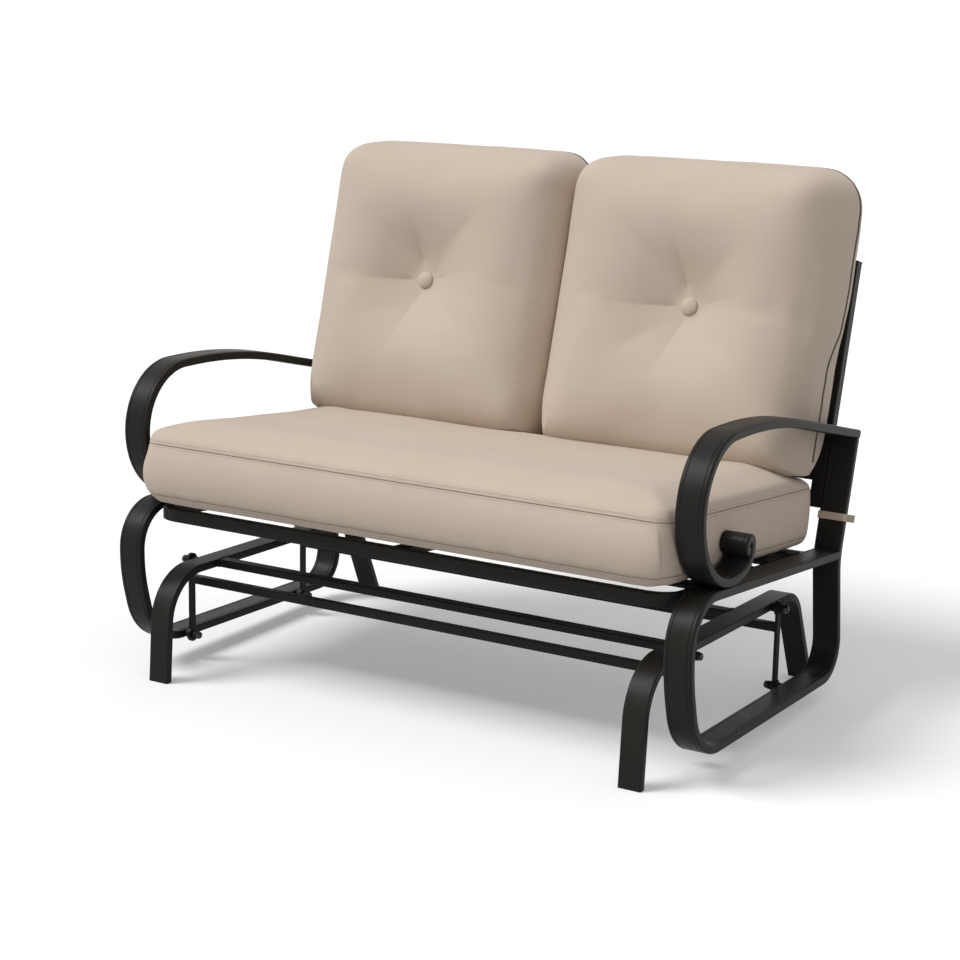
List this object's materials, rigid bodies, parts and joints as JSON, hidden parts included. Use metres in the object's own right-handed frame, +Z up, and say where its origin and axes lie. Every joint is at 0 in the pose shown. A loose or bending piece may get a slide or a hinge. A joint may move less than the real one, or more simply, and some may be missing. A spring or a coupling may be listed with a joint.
{
  "type": "glider bench",
  "caption": "Two-seat patio glider bench: bent flat-tube side loops with scrolled armrests swing on a splayed base by four links; box seat cushion and buttoned back cushions",
  "frame": {"origin": "middle of the bounding box's underside, on the floor", "axes": "X along the bench to the sitter's left, Y from front to back, Z up; the bench faces -Y"},
  "size_m": [1.239, 0.8178, 0.9811],
  "materials": {
    "frame_paint": "dark bronze powder coat, satin",
    "bolt_steel": "blackened steel",
    "black_plastic": "matte black",
    "cushion_fabric": "woven taupe polyester"
  },
  "bodies": {
    "base": {"left_base_frame": "frame_paint", "right_base_frame": "frame_paint", "front_base_crossbar": "frame_paint", "rear_base_crossbar": "frame_paint", "foot_caps": "black_plastic", "upper_pivot_bolts": "bolt_steel"},
    "front_yoke": {"front_left_link": "frame_paint", "front_right_link": "frame_paint", "front_yoke_bar": "frame_paint", "front_link_bushes": "black_plastic"},
    "rear_yoke": {"rear_left_link": "frame_paint", "rear_right_link": "frame_paint", "rear_yoke_bar": "frame_paint", "rear_link_bushes": "black_plastic"},
    "seat": {"left_side_loop": "frame_paint", "right_side_loop": "frame_paint", "left_armrest": "frame_paint", "right_armrest": "frame_paint", "seat_frame": "frame_paint", "seat_rear_rail": "frame_paint", "seat_centre_bar": "frame_paint", "seat_slats": "frame_paint", "left_back_post": "frame_paint", "right_back_post": "frame_paint", "back_top_rail": "frame_paint", "back_lower_rail": "frame_paint", "back_slats": "frame_paint", "post_caps": "black_plastic", "lower_pivot_bolts": "bolt_steel", "frame_bolts": "bolt_steel", "seat_cushion": "cushion_fabric", "left_back_cushion": "cushion_fabric", "right_back_cushion": "cushion_fabric", "cushion_buttons": "cushion_fabric", "left_tie_strap": "cushion_fabric", "right_tie_strap": "cushion_fabric"}
  },
  "joints": [
    {"name": "front_link_swing", "type": "hinge", "parent": "base", "child": "front_yoke", "pos_m": [0, -0.25894, 0.2027], "axis": [1, 0, 0], "range_deg": [-18, 18]},
    {"name": "rear_link_swing", "type": "hinge", "parent": "base", "child": "rear_yoke", "pos_m": [0, 0.11106, 0.19527], "axis": [1, 0, 0], "range_deg": [-18, 18]},
    {"name": "seat_on_front_links", "type": "hinge", "parent": "front_yoke", "child": "seat", "pos_m": [0, -0.25894, 0.052], "axis": [1, 0, 0], "range_deg": [-18, 18]}
  ],
  "couplings": [
    {"joint": "seat_on_front_links", "follows": "front_link_swing", "ratio": -1},
    {"joint": "rear_link_swing", "follows": "front_link_swing", "ratio": 1}
  ]
}
